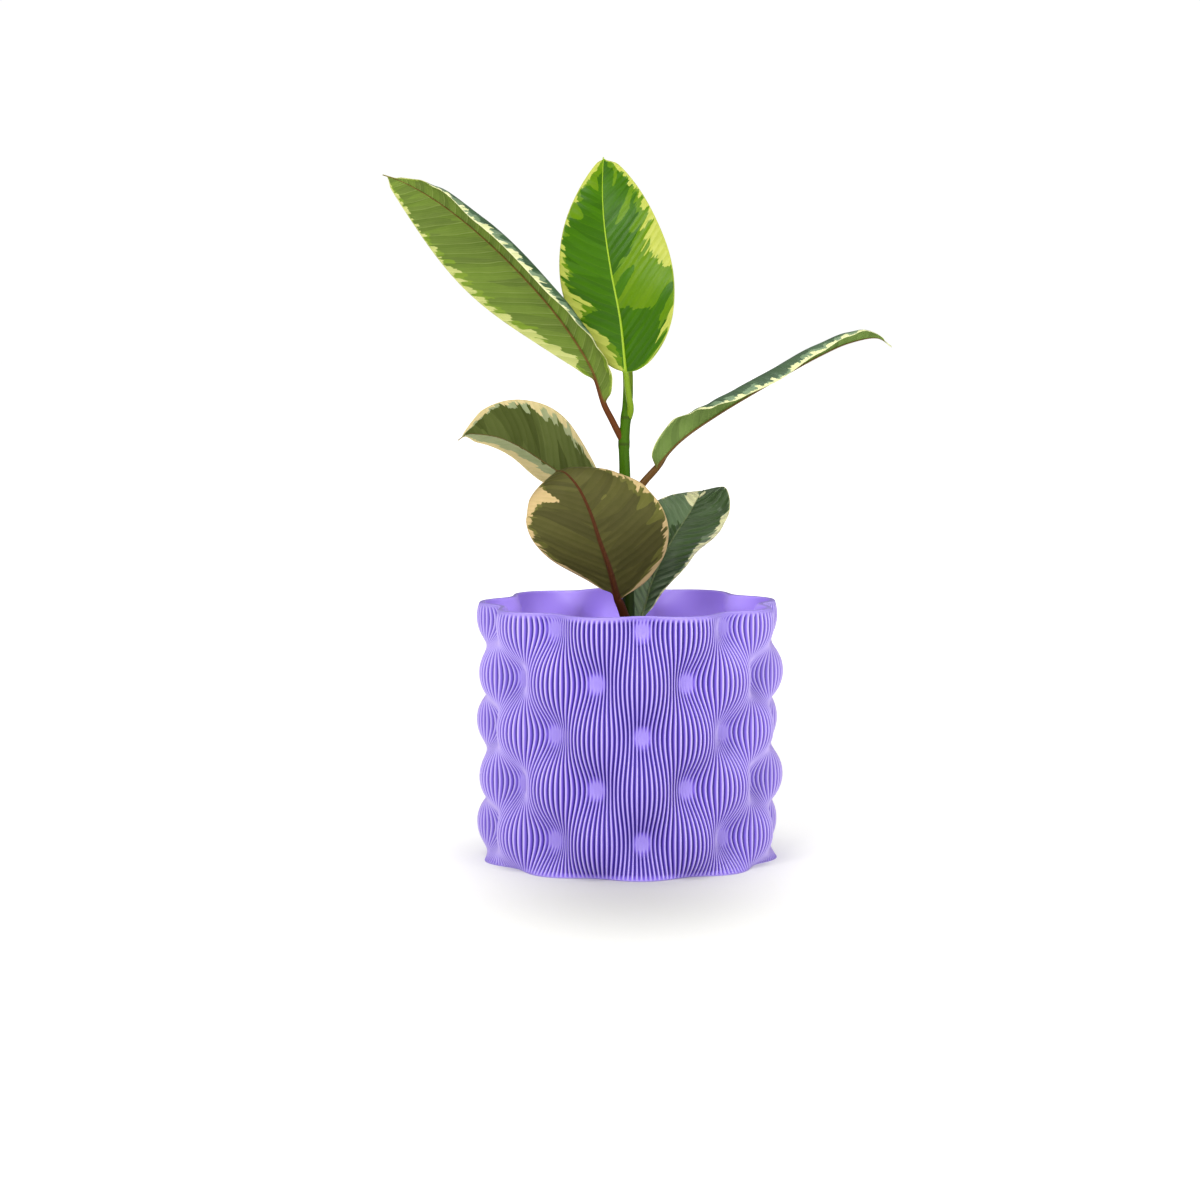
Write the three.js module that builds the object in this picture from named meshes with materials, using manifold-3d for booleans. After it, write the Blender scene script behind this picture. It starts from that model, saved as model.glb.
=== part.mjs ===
// Variegated rubber plant in a ribbed, dimpled lavender planter.
// Millimetres, +Z up. The origin is the middle of the pot's flat foot, and the front is -Y.
import * as THREE from 'three';
import { mergeVertices } from 'three/addons/utils/BufferGeometryUtils.js';
import Module from 'manifold-3d';

const wasm = await Module();
wasm.setup();

const { Vector3, MathUtils } = THREE;
const TURN = 2 * Math.PI;
const FIT = 0.3; // clearance between pieces that touch
const SAME_POINT = 1e-5; // corners closer than this are one

// Pot: a wall of rows of dimples and bulges, set out like a chequerboard, with fine upright ribs.
const POT_HEIGHT = 137;
const POT_RADIUS = 76.6; // where the wall neither bulges nor dips
const BULGE = 5.6; // how far a bulge stands out
const DIMPLE = 9.2; // how far a dimple dips
const LOBES = 9; // bulges round each row
const ROW_PITCH = 27.7; // height from one row to the next
const TOP_ROW = 8.2; // depth of the top row's middle below the rim
const TOP_DIMPLE = MathUtils.degToRad(5.1); // the top row's front dimple, turned towards +X
const RIBS_PER_LOBE = 9;
const RIB_DEPTH = 1;
const RIB_FADE = [-0.95, -0.3]; // relief from which the ribs rise, and at which they are full
const WALL = 3;
const FLOOR = 4;
const PLAIN_EDGE = 1.6; // the rim and the foot have no ribs
const EDGE_ROUNDING = 0.5;
const ROW_STEPS = 3; // steps from one row to the next, with one on each row's middle
const LEAST_STEP = 1 / 6; // an end step may be this short, as a share of a whole one
const INNER_COLUMNS = 54;

// Soil
const SOIL_TOP = POT_HEIGHT - TOP_ROW - (2 * ROW_PITCH) / ROW_STEPS; // level with a step of the wall
const SOIL_CROWN = 2.5; // how much the soil rises round the stem
const SOIL_RINGS = 3;

// Stem: a green cane that ends in the pointed sheath of the next leaf.
const STEM_SIDES = 12;
const STEM_STEPS = 26;
const STEM_LINE = [
  [-0.5, 0, 82], [-0.5, 0, 116], [-0.5, 0, 131], [-1.5, 0, 170], [-2.6, 0, 207], [-3, 0, 223],
  [-2, 0, 235], [-1, 0.2, 246], [-0.9, 0.4, 256], [-2, 0.8, 271], [-3.4, 1.2, 284],
];
const STEM_RADII = [
  [0, 3.4], [0.17, 3.3], [0.6, 2.95], [0.7, 2.85], [0.76, 2.65], [0.82, 2.7], [0.87, 2.75],
  [0.94, 1.8], [1, 0.35],
];
const STEM_NODES = [0.2, 0.49, 0.53, 0.69, 0.76]; // share of the length where a leaf stands
const NODE_SWELL = 0.35;
const NODE_REACH = 0.012;

// Leaves
const BLADE = 0.7; // thickness
const WING_LAG = 0.3; // the minus wing's waves come later, as a share of a wave
const TIP_RADIUS = 0.35;
const RIB_TAPER = 0.6; // the midrib thins quickly near the base, then slowly
const SIDE_STEPS = 5; // strips from the midrib to the margin
const PETIOLE_STEPS = 3;
const BLADE_STEPS = 18;
const LENGTH_STEPS = 100; // for measuring along the midrib
const SQUARENESS = 0.5; // how far the wings keep square to the whole blade, not to the midrib's bends
const SQUARE_FROM = 0.1; // share of the blade by which they are
const RIM_ANGLE = MathUtils.degToRad(75); // where a round petiole's sheet edges lie
const FLAT_FROM = 4; // a wing this many petiole radii wide is a flat blade
const RIB_STAND = 0.9; // midrib relief below the blade, as a share of the petiole's radius

// Each leaf has the line of its petiole and midrib, the point where the blade starts, the petiole's
// radius at its foot and at the blade, the side that its upper face looks to, and two wings. A wing has
// its width, widest place, fullness, the share of the midrib that it leaves bare, the share over which
// its tip tapers, and its bend as rows of [share, angle at the midrib, angle at the margin] in degrees,
// positive towards the upper face. The plus wing lies right of the midrib, seen from above, tip ahead.
const LEAVES = {
  leaf_top: {
    line: [
      [-0.5, 0, 235.5], [0.5, -2.5, 240], [-0.5, -5, 247.5], [-2, -6, 259.5], [-5, -7, 287.5],
      [-10, -6, 313.5], [-13.5, -3, 337.5], [-14.5, 2, 355.5], [-14, 8, 373],
    ],
    bladeStart: 3,
    petiole: [1.9, 1.6],
    face: [[0, [-0.1, -1, 0]], [1, [0, -1, 0.3]]],
    plus: {
      width: 32.8, widest: 0.42, fullness: 0.58, bare: 0, taper: 0.03,
      bend: [[0, 25, 20], [0.5, 10, 6], [1, 8, 0]],
    },
    minus: {
      width: 27.5, widest: 0.42, fullness: 0.8, bare: 0, taper: 0.03,
      bend: [[0, 12, -5], [0.5, 10, 0], [1, 8, 0]],
    },
    wave: { height: 1, count: 2.5, start: 0.4 },
    colour: 0x4a7d10,
  },
  leaf_left: {
    line: [
      [-3, 0, 222], [-6, -1, 227.5], [-9.5, -2, 234.5], [-13.5, -4, 242.5], [-20, -7, 261.3],
      [-35.5, -12, 286], [-56.3, -14, 310.3], [-82.8, -14, 335.5], [-104.3, -12, 351.5], [-121, -9, 360.5],
      [-130, -6, 363.5],
    ],
    bladeStart: 3,
    petiole: [1.9, 1.6],
    face: [[0, [0.1, 1, 0.1]], [1, [0.1, 1, 0.1]]],
    plus: {
      width: 26.5, widest: 0.53, fullness: 0.85, bare: 0.06, taper: 0.05,
      bend: [[0, 0, 0], [0.5, 0, -8], [1, 0, 0]],
    },
    minus: {
      width: 24.5, widest: 0.5, fullness: 0.6, bare: 0, taper: 0.2,
      bend: [
        [0, 0, -10], [0.06, 0, -25], [0.11, 0, -62], [0.18, 0, -98], [0.28, 0, -125], [0.4, 0, -138],
        [0.68, 0, -138], [0.84, 0, -108], [0.9, 0, -70], [1, 0, -10],
      ],
    },
    wave: { height: 0.5, count: 3, start: 0.1 },
    colour: 0x6d8742,
  },
  leaf_right: {
    line: [
      [-1.5, 0, 188], [3.5, 1, 195.5], [8, 2, 201.5], [13.5, 3, 207.5], [27, 5, 222.5], [46, 7, 236],
      [80, 8, 256.2], [101.5, 7, 268.2], [117, 6, 275], [132, 4, 277.5], [139, 2, 273],
    ],
    bladeStart: 3,
    petiole: [2.2, 1.9],
    face: [[0, [-0.6, 0, 0.8]], [1, [-0.3, 0, 0.95]]],
    plus: {
      width: 22.3, widest: 0.48, fullness: 0.56, bare: 0, taper: 0.12,
      bend: [
        [0, 95, 70], [0.14, 88, 30], [0.23, 84, -15], [0.3, 82, -45], [0.4, 80, -66], [0.56, 80, -80],
        [0.73, 82, -65], [0.85, 88, -45], [0.92, 82, -15], [1, 70, 10],
      ],
    },
    minus: {
      width: 20, widest: 0.5, fullness: 0.8, bare: 0, taper: 0.15,
      bend: [[0, 60, 40], [0.2, 45, 5], [0.6, 32, -15], [1, 40, 0]],
    },
    wave: { height: 0.4, count: 3, start: 0.3 },
    colour: 0x6c8460,
  },
  leaf_left_low: {
    line: [
      [-2, 1, 180], [-5.5, 3, 183.5], [-9.5, 5, 187], [-26.5, 9, 198], [-40, 11, 206.5],
      [-58.5, 13, 218.5], [-69.5, 13, 223.5], [-80, 12, 225.5], [-87.5, 10, 225.5], [-91.5, 8, 223],
    ],
    bladeStart: 2,
    petiole: [1.9, 1.6],
    face: [[0, [0, 0.92, -0.38]], [1, [0, 0.92, -0.38]]],
    plus: {
      width: 21.5, widest: 0.47, fullness: 0.8, bare: 0, taper: 0.12,
      bend: [[0, -20, -30], [0.4, -48, -56], [0.8, -50, -56], [1, -40, -40]],
    },
    minus: {
      width: 28.2, widest: 0.56, fullness: 0.8, bare: 0, taper: 0.12,
      bend: [[0, 0, 5], [1, 0, -5]],
    },
    wave: { height: 0.6, count: 2.5, start: 0.2 },
    colour: 0x5d6a2e,
  },
  leaf_front: {
    line: [
      [-1, -0.5, 125.5], [-2.5, -5, 129.5], [-4.5, -10, 135.5], [-6.5, -14, 140.5], [-10.5, -24, 156.5],
      [-16, -33, 173], [-21, -39, 188.5], [-27, -40, 201], [-33.5, -34, 208], [-39, -20, 208.5],
    ],
    bladeStart: 3,
    petiole: [2.7, 2.2],
    face: [[0, [0, 1, 0.3]], [0.6, [0, 1, 0]], [1, [0.2, 1, -1]]],
    plus: {
      width: 34, widest: 0.6, fullness: 0.72, bare: 0, taper: 0.06,
      bend: [[0, 10, 15], [0.5, 0, 8], [1, 0, 20]],
    },
    minus: {
      width: 37, widest: 0.38, fullness: 0.66, bare: 0, taper: 0.06,
      bend: [[0, 10, 15], [0.4, 0, 8], [0.55, 0, 35], [0.7, 0, 70], [0.85, 0, 80], [1, 0, 40]],
    },
    wave: { height: 0.5, count: 2, start: 0.6 },
    colour: 0x515526,
  },
  leaf_right_low: {
    line: [
      [0, 0.5, 115.5], [2.5, 2, 119.5], [5.5, 4, 126], [8.5, 8, 135], [12, 12, 146.5], [17.5, 17, 158],
      [24.5, 24, 170.5], [33, 33, 182.5], [38, 42, 190], [41, 54, 193],
    ],
    bladeStart: 1,
    petiole: [1.9, 1.6],
    face: [[0, [0, -1, 0.3]], [0.7, [-0.1, -1, 0.7]], [1, [-0.3, -0.6, 1]]],
    plus: {
      width: 20.5, widest: 0.77, fullness: 0.42, bare: 0, taper: 0.06,
      bend: [[0, 20, 10], [0.35, 8, -32], [0.65, -10, -80], [0.8, 2, -62], [0.92, 20, 15], [1, 20, 25]],
    },
    minus: {
      width: 22, widest: 0.6, fullness: 0.6, bare: 0, taper: 0.06,
      bend: [[0, 40, 30], [0.5, 15, 0], [1, 5, -10]],
    },
    wave: { height: 0.6, count: 3, start: 0.1 },
    colour: 0x3f5a38,
  },
};

function finish(colour, roughness) {
  return new THREE.MeshStandardMaterial({ color: colour, roughness, metalness: 0 });
}

// A smooth value between stations [place, value].
function between(stations, place, column = 1) {
  const last = stations.length - 1;
  if (place <= stations[0][0]) return stations[0][column];
  if (place >= stations[last][0]) return stations[last][column];
  const next = stations.findIndex((station) => station[0] > place);
  const [from, to] = [stations[next - 1], stations[next]];
  return MathUtils.lerp(from[column], to[column], MathUtils.smoothstep(place, from[0], to[0]));
}

// A closed geometry from a list of corner positions and triangles.
function geometryFrom(corners, triangles) {
  const geometry = new THREE.BufferGeometry();
  geometry.setAttribute('position', new THREE.Float32BufferAttribute(corners.flatMap((c) => c.toArray()), 3));
  geometry.setIndex(triangles.flat());
  return geometry;
}

// Two triangles over four corners in turn, split from the first corner or from the second.
const quad = (a, b, c, d) => [[a, b, c], [a, c, d]];
const otherQuad = (a, b, c, d) => [[a, b, d], [b, c, d]];

// A closed body through rings of equal count, with a fan over each end. The splits alternate from side
// to side, so that each rib is alike on its left and right.
function ringBody(rings) {
  const count = rings[0].length;
  const corners = rings.flat();
  const triangles = [];
  for (let ring = 0; ring + 1 < rings.length; ring += 1) {
    for (let side = 0; side < count; side += 1) {
      const [a, b] = [ring * count + side, ring * count + ((side + 1) % count)];
      const split = side % 2 ? quad : otherQuad;
      triangles.push(...split(a, b, b + count, a + count));
    }
  }
  const middleOf = (ring) => ring.reduce((sum, c) => sum.add(c), new Vector3()).divideScalar(count);
  const [first, last] = [corners.length, corners.length + 1];
  corners.push(middleOf(rings[0]), middleOf(rings.at(-1)));
  const top = (rings.length - 1) * count;
  for (let side = 0; side < count; side += 1) {
    const next = (side + 1) % count;
    triangles.push([first, next, side], [last, top + side, top + next]);
  }
  return geometryFrom(corners, triangles);
}

function solidOf(geometry) {
  const merged = mergeVertices(geometry, SAME_POINT);
  return new wasm.Manifold(new wasm.Mesh({
    numProp: 3,
    vertProperties: new Float32Array(merged.attributes.position.array),
    triVerts: new Uint32Array(merged.index.array),
  }));
}

function geometryOf(solid) {
  const { numProp, vertProperties, triVerts } = solid.getMesh();
  const geometry = new THREE.BufferGeometry();
  const positions = new Float32Array((vertProperties.length / numProp) * 3);
  for (let i = 0; i < positions.length / 3; i += 1) {
    positions.set(vertProperties.subarray(i * numProp, i * numProp + 3), i * 3);
  }
  geometry.setAttribute('position', new THREE.BufferAttribute(positions, 3));
  geometry.setIndex(new THREE.BufferAttribute(new Uint32Array(triVerts), 1));
  return geometry;
}

function piece(name, geometry, material) {
  geometry.computeVertexNormals();
  const mesh = new THREE.Mesh(geometry, material);
  mesh.name = name;
  return mesh;
}

// How far the wall stands out at an angle and a height: 1 on a bulge's top, -1 in a dimple's middle.
function relief(angle, height) {
  const row = Math.cos((Math.PI * (POT_HEIGHT - height - TOP_ROW)) / ROW_PITCH);
  return -Math.cos(LOBES * (angle - TOP_DIMPLE)) * row;
}

function potPoint(angle, height, inset) {
  const stand = relief(angle, height);
  const [swing, lean] = [(DIMPLE + BULGE) / 2, (DIMPLE - BULGE) / 2];
  const radius = POT_RADIUS + swing * stand - lean * stand ** 2 - inset;
  return new Vector3(radius * Math.sin(angle), -radius * Math.cos(angle), height);
}

function smoothRing(columns, height, inset) {
  return Array.from({ length: columns }, (_, i) => potPoint((i / columns) * TURN, height, inset));
}

function ribbedRing(height, depth, inset = 0) {
  const columns = 2 * LOBES * RIBS_PER_LOBE;
  return Array.from({ length: columns }, (_, i) => {
    const angle = (i / columns) * TURN;
    const groove = i % 2 ? depth * MathUtils.smoothstep(relief(angle, height), ...RIB_FADE) : 0;
    return potPoint(angle, height, inset + groove);
  });
}

// Heights between two levels that meet the middle of every row of bulges.
function rowHeights(from, to) {
  const step = ROW_PITCH / ROW_STEPS;
  const heights = [];
  for (let height = POT_HEIGHT - TOP_ROW; height > from + LEAST_STEP * step; height -= step) {
    if (height < to - LEAST_STEP * step) heights.push(height);
  }
  return [from, ...heights.reverse(), to];
}

function pot() {
  const [ribFoot, ribTop] = [2 * PLAIN_EDGE, POT_HEIGHT - 2 * PLAIN_EDGE];
  const rings = [
    ribbedRing(0, 0, EDGE_ROUNDING),
    ribbedRing(EDGE_ROUNDING, 0),
    ribbedRing(PLAIN_EDGE, 0),
    ...rowHeights(ribFoot, ribTop).map((height) => ribbedRing(height, RIB_DEPTH)),
    ribbedRing(POT_HEIGHT - PLAIN_EDGE, 0),
    ribbedRing(POT_HEIGHT - EDGE_ROUNDING, 0),
    ribbedRing(POT_HEIGHT, 0, EDGE_ROUNDING),
  ];
  const room = rowHeights(FLOOR, POT_HEIGHT + 1).map((height) => smoothRing(INNER_COLUMNS, height, WALL));
  return geometryOf(solidOf(ringBody(rings)).subtract(solidOf(ringBody(room))));
}

function soil(stemRoom) {
  const inset = WALL + 2 * FIT; // facets make the wall's hollows a little tighter than its corners
  const sides = rowHeights(FLOOR + FIT, SOIL_TOP).map((height) => smoothRing(INNER_COLUMNS, height, inset));
  const top = sides.at(-1);
  const crown = Array.from({ length: SOIL_RINGS }, (_, i) => {
    const share = 1 - (i + 1) / (SOIL_RINGS + 1);
    const lift = SOIL_CROWN * (1 - share ** 2);
    return top.map((c) => new Vector3(c.x * share, c.y * share, SOIL_TOP + lift));
  });
  return geometryOf(solidOf(ringBody([...sides, ...crown])).subtract(stemRoom));
}

function stemRadius(share) {
  const swell = STEM_NODES.reduce((sum, node) => sum + Math.exp(-(((share - node) / NODE_REACH) ** 2)), 0);
  return between(STEM_RADII, share) + NODE_SWELL * swell;
}

function stem(extra = 0) {
  const line = new THREE.CatmullRomCurve3(STEM_LINE.map((p) => new Vector3(...p)), false, 'centripetal');
  const rings = Array.from({ length: STEM_STEPS + 1 }, (_, i) => {
    const share = i / STEM_STEPS;
    const middle = line.getPointAt(share);
    const radius = stemRadius(share) + extra;
    middle.z += extra * (2 * share - 1);
    return Array.from({ length: STEM_SIDES }, (_, side) => {
      const angle = (side / STEM_SIDES) * TURN;
      return middle.clone().add(new Vector3(radius * Math.cos(angle), radius * Math.sin(angle), 0));
    });
  });
  return ringBody(rings);
}

// Half-width of a wing at a share of the blade's length.
function wingWidth(wing, share) {
  const own = (share - wing.bare) / (1 - wing.bare);
  if (own <= 0 || own >= 1) return 0;
  const power = Math.log(0.5) / Math.log(wing.widest);
  const outline = Math.sin(Math.PI * own ** power) ** wing.fullness;
  return wing.width * outline * MathUtils.smoothstep(1 - own, 0, wing.taper);
}

// Points across one wing, from the midrib to the margin, with the direction in which each faces.
function wingPoints(spec, wing, sign, share, frame, radius, wave) {
  const width = Math.max(wingWidth(wing, share), radius * Math.sin(RIM_ANGLE));
  const open = MathUtils.smoothstep(width, radius, FLAT_FROM * radius);
  const ribWidth = Math.min(radius, width / SIDE_STEPS);
  const start = MathUtils.degToRad(between(wing.bend, share, 1)) * open;
  const end = MathUtils.degToRad(between(wing.bend, share, 2)) * open;
  const point = frame.middle.clone();
  const points = [];
  let reached = 0;
  for (let step = 0; step <= SIDE_STEPS; step += 1) {
    const flat = step === 0 ? 0 : ribWidth + ((width - ribWidth) * (step - 1)) / (SIDE_STEPS - 1);
    const round = radius * Math.sin((RIM_ANGLE * step) / SIDE_STEPS);
    const distance = MathUtils.lerp(round, flat, open);
    const halfway = MathUtils.lerp(start, end, (distance + reached) / 2 / width);
    const along = frame.across.clone().multiplyScalar(sign * Math.cos(halfway));
    along.addScaledVector(frame.up, Math.sin(halfway));
    point.addScaledVector(along, distance - reached);
    reached = distance;
    const angle = MathUtils.lerp(start, end, distance / width);
    const normal = frame.up.clone().multiplyScalar(Math.cos(angle));
    normal.addScaledVector(frame.across, -sign * Math.sin(angle));
    const roundHalf = radius * Math.cos((RIM_ANGLE * step) / SIDE_STEPS);
    const stand = step === 0 ? RIB_STAND * radius : 0;
    const lifted = point.clone().addScaledVector(normal, wave * open * (distance / width) ** 2);
    points.push({
      top: lifted.clone().addScaledVector(normal, MathUtils.lerp(roundHalf, BLADE / 2, open)),
      bottom: lifted.clone().addScaledVector(normal, -MathUtils.lerp(roundHalf, BLADE / 2 + stand, open)),
    });
  }
  return points;
}

function leafRows(spec) {
  const curve = new THREE.CatmullRomCurve3(spec.line.map((p) => new Vector3(...p)), false, 'centripetal');
  const bladeFrom = spec.bladeStart / (spec.line.length - 1);
  const places = [
    ...Array.from({ length: PETIOLE_STEPS }, (_, i) => (bladeFrom * i) / PETIOLE_STEPS),
    ...Array.from({ length: BLADE_STEPS + 1 }, (_, i) => MathUtils.lerp(bladeFrom, 1, i / BLADE_STEPS)),
  ];
  const ends = [curve.getPoint(bladeFrom), curve.getPoint(1)];
  const chord = ends[1].clone().sub(ends[0]).normalize();
  const lengths = [0];
  for (let i = 1; i <= LENGTH_STEPS; i += 1) {
    const [from, to] = [i - 1, i].map((step) => MathUtils.lerp(bladeFrom, 1, step / LENGTH_STEPS));
    lengths.push(lengths[i - 1] + curve.getPoint(from).distanceTo(curve.getPoint(to)));
  }
  const shareOf = (place) => {
    const at = Math.max(0, ((place - bladeFrom) / (1 - bladeFrom)) * LENGTH_STEPS);
    const low = Math.min(LENGTH_STEPS - 1, Math.floor(at));
    return MathUtils.lerp(lengths[low], lengths[low + 1], at - low) / lengths[LENGTH_STEPS];
  };
  return places.map((place) => {
    const share = shareOf(place);
    const ahead = curve.getTangent(place);
    ahead.lerp(chord, SQUARENESS * MathUtils.smoothstep(share, 0, SQUARE_FROM)).normalize();
    const look = [0, 1, 2].map((axis) => between(spec.face.map(([at, side]) => [at, side[axis]]), share));
    const up = new Vector3(...look);
    up.addScaledVector(ahead, -up.dot(ahead)).normalize();
    const frame = { middle: curve.getPoint(place), up, across: ahead.clone().cross(up) };
    const radius = place < bladeFrom
      ? MathUtils.lerp(...spec.petiole, place / bladeFrom)
      : MathUtils.lerp(spec.petiole[1], TIP_RADIUS, share ** RIB_TAPER);
    const { height, count, start } = spec.wave;
    const plusWave = height * Math.sin(TURN * (count * share + start));
    const minusWave = height * Math.sin(TURN * (count * share + start + WING_LAG));
    const plus = wingPoints(spec, spec.plus, 1, share, frame, radius, plusWave);
    const minus = wingPoints(spec, spec.minus, -1, share, frame, radius, minusWave);
    return [...minus.slice(1).reverse(), ...plus];
  });
}

// A leaf's two faces share one split into triangles, so the thin blade never crosses itself.
function leaf(spec, stemRoom) {
  const rows = leafRows(spec);
  const columns = rows[0].length;
  const corners = rows.flatMap((row) => [...row.map((p) => p.top), ...row.map((p) => p.bottom)]);
  const top = (row, column) => row * 2 * columns + column;
  const bottom = (row, column) => top(row, column) + columns;
  const triangles = [];
  const end = columns - 1;
  for (let row = 0; row + 1 < rows.length; row += 1) {
    const next = row + 1;
    for (let column = 0; column < end; column += 1) {
      const across = column + 1;
      triangles.push(...quad(top(row, column), top(row, across), top(next, across), top(next, column)));
      triangles.push(
        ...otherQuad(bottom(row, across), bottom(row, column), bottom(next, column), bottom(next, across)),
      );
    }
    triangles.push(...quad(top(row, 0), top(next, 0), bottom(next, 0), bottom(row, 0)));
    triangles.push(...quad(top(next, end), top(row, end), bottom(row, end), bottom(next, end)));
  }
  const last = rows.length - 1;
  for (let column = 0; column < end; column += 1) {
    const across = column + 1;
    triangles.push(...quad(top(0, across), top(0, column), bottom(0, column), bottom(0, across)));
    triangles.push(
      ...quad(top(last, column), top(last, across), bottom(last, across), bottom(last, column)),
    );
  }
  const solid = solidOf(geometryFrom(corners, triangles)).subtract(stemRoom);
  return geometryOf(solid);
}

const plant = new THREE.Group();
const stemRoom = solidOf(stem(FIT));
plant.add(piece('pot', pot(), finish(0x9f8ce4, 0.55)));
plant.add(piece('soil', soil(stemRoom), finish(0x2e211a, 0.95)));
plant.add(piece('stem', stem(), finish(0x4f7d12, 0.45)));
for (const [name, spec] of Object.entries(LEAVES)) {
  plant.add(piece(name, leaf(spec, stemRoom), finish(spec.colour, 0.4)));
}

export default plant;
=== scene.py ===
import bpy
import math
import random
import numpy as np
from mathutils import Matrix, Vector, noise


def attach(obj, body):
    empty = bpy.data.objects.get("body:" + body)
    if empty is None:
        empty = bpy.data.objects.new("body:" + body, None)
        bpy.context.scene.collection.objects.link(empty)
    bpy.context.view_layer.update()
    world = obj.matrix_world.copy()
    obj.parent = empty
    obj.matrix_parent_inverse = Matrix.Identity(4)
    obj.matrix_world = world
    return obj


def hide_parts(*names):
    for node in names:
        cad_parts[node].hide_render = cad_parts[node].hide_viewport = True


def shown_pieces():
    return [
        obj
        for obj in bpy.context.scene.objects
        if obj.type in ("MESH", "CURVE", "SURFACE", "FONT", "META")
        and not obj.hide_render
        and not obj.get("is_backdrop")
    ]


# Variegated rubber plant in a ribbed lavender planter.
# Everything is worked out in millimetres, like the solids, and turned into metres as each mesh is made.

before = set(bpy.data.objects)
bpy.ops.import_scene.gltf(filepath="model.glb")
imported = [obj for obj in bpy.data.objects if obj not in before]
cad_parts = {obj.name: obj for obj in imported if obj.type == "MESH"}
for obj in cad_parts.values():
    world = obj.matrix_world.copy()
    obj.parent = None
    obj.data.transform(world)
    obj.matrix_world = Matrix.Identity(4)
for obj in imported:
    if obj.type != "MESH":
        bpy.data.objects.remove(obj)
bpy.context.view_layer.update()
scene = bpy.context.scene
metre = 0.001
turn = 2 * math.pi
print("frame loaded", sorted(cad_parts))


# small helpers

def mix(a, b, t):
    return a + (b - a) * t


def smooth(x, low, high):  # 0 up to low, 1 from high on, for a number or an array
    t = np.clip((x - low) / (high - low), 0, 1)
    return t * t * (3 - 2 * t)


def between(stations, place, column=1):  # a smooth value between stations [place, value]
    if place <= stations[0][0]:
        return stations[0][column]
    for low, high in zip(stations, stations[1:]):
        if place < high[0]:
            return mix(low[column], high[column], smooth(place, low[0], high[0]))
    return stations[-1][column]


def colourOf(rgb):  # from the 0 to 255 of a colour picker
    def linear(v):
        v /= 255
        return v / 12.92 if v <= 0.04045 else ((v + 0.055) / 1.055) ** 2.4
    return (*[linear(v) for v in rgb], 1)


def linePoint(points, t):  # centripetal curve through the points
    last = len(points) - 1
    place = last * t
    low = min(last - 1, int(place))
    weight = place - low
    p1, p2 = points[low], points[low + 1]
    p0 = points[low - 1] if low > 0 else 2 * p1 - p2
    p3 = points[low + 2] if low + 2 <= last else 2 * p2 - p1
    d0, d1, d2 = [max(1e-4, (b - a).length_squared ** 0.25) for a, b in ((p0, p1), (p1, p2), (p2, p3))]
    t1 = ((p1 - p0) / d0 - (p2 - p0) / (d0 + d1) + (p2 - p1) / d1) * d1
    t2 = ((p2 - p1) / d1 - (p3 - p1) / (d1 + d2) + (p3 - p2) / d2) * d1
    cubic = 2 * p1 - 2 * p2 + t1 + t2
    square = -3 * p1 + 3 * p2 - 2 * t1 - t2
    return ((cubic * weight + square) * weight + t1) * weight + p1


def lineTangent(points, t, reach=0.0001):
    low, high = max(0, t - reach), min(1, t + reach)
    return (linePoint(points, high) - linePoint(points, low)).normalized()


def lineLengths(points, start, count):  # how long the line is from start up to each of count even marks
    marks = [linePoint(points, mix(start, 1, i / count)) for i in range(count + 1)]
    return np.cumsum([0] + [(b - a).length for a, b in zip(marks, marks[1:])])


def ringFaces(low, high, count):  # four-cornered faces from one ring of corners up to the next
    step = np.arange(count)
    ahead = (step + 1) % count
    return np.stack([low + step, low + ahead, high + ahead, high + step], axis=1).tolist()


def fanFaces(middle, ring, count):  # three-cornered faces from a middle corner out to a ring
    return [(middle, ring + i, ring + (i + 1) % count) for i in range(count)]


def flipped(faces):
    return [face[::-1] for face in faces]


def meshPiece(name, corners, faces, slotName, nodeName, materials, faceMaterials=None):
    mesh = bpy.data.meshes.new(name)
    mesh.from_pydata([tuple(c * metre for c in corner) for corner in corners], [], faces)
    for material in materials:
        mesh.materials.append(material)
    if faceMaterials is not None:
        mesh.polygons.foreach_set("material_index", faceMaterials)
    mesh.polygons.foreach_set("use_smooth", [True] * len(mesh.polygons))
    mesh.update()
    piece = bpy.data.objects.new(name, mesh)
    scene.collection.objects.link(piece)
    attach(piece, "root")
    if nodeName:
        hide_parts(nodeName)
    return piece


def setPoints(piece, name, values):  # one number or one vector for each corner
    values = np.asarray(values, dtype=np.float32)
    kind, key = ("FLOAT", "value") if values.ndim == 1 else ("FLOAT_VECTOR", "vector")
    layer = piece.data.attributes.new(name, kind, "POINT")
    layer.data.foreach_set(key, values.ravel())


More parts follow.
